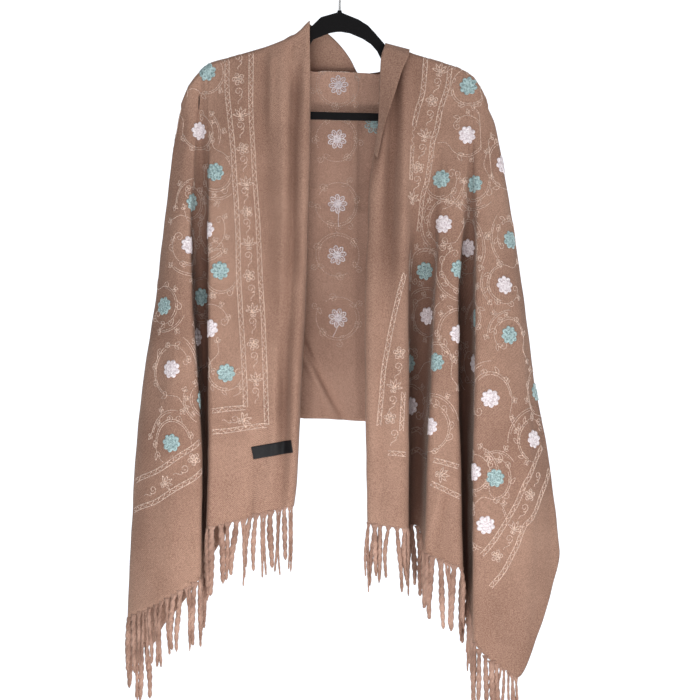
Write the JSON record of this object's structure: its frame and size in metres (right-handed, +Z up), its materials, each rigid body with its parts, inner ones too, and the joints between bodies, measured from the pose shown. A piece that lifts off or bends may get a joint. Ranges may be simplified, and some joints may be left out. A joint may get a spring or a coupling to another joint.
{
  "type": "fringed wool shawl on a clothes hanger",
  "caption": "Fringed brown wool shawl hung open-fronted over a flat flocked clothes hanger with a wire hook, its ends falling in deep folds.",
  "frame": {"origin": "inside top of the hanger's hook, where a rail carries it", "axes": "+X to the right of a viewer in front, +Y away from that viewer, +Z up"},
  "size_m": [0.6087, 0.1173, 1.1113],
  "materials": {
    "wool_left_inner": "fine napped wool twill, embroidered",
    "wool_left_outer": "fine napped wool twill, embroidered",
    "wool_back_left_end": "fine napped wool twill, embroidered",
    "wool_back_left": "fine napped wool twill, embroidered",
    "wool_back_middle": "fine napped wool twill, embroidered, wrong side in view between the fronts",
    "wool_back_right": "fine napped wool twill, embroidered",
    "wool_back_right_end": "fine napped wool twill, embroidered",
    "wool_right_outer": "fine napped wool twill, embroidered",
    "wool_right_middle": "fine napped wool twill, embroidered",
    "wool_right_inner": "fine napped wool twill, embroidered",
    "wool_nape": "fine napped wool twill, plain",
    "wool_collar": "fine napped wool twill, plain",
    "fringe_left_yarn": "twisted wool yarn",
    "fringe_right_yarn": "twisted wool yarn",
    "black_satin": "woven satin label, bare",
    "flocked_body": "short black flock on plastic",
    "flocked_bar": "short black flock on plastic",
    "hook_steel": "bright steel wire"
  },
  "bodies": {
    "root": {"shawl_left_inner": "wool_left_inner", "shawl_left_outer": "wool_left_outer", "shawl_back_left_end": "wool_back_left_end", "shawl_back_left": "wool_back_left", "shawl_back_middle": "wool_back_middle", "shawl_back_right": "wool_back_right", "shawl_back_right_end": "wool_back_right_end", "shawl_right_outer": "wool_right_outer", "shawl_right_middle": "wool_right_middle", "shawl_right_inner": "wool_right_inner", "nape_flap": "wool_nape", "collar_turnover": "wool_collar", "fringe_left": "fringe_left_yarn", "fringe_right": "fringe_right_yarn", "label": "black_satin", "hanger_body": "flocked_body", "hanger_bar": "flocked_bar", "hanger_hook": "hook_steel"}
  },
  "joints": []
}
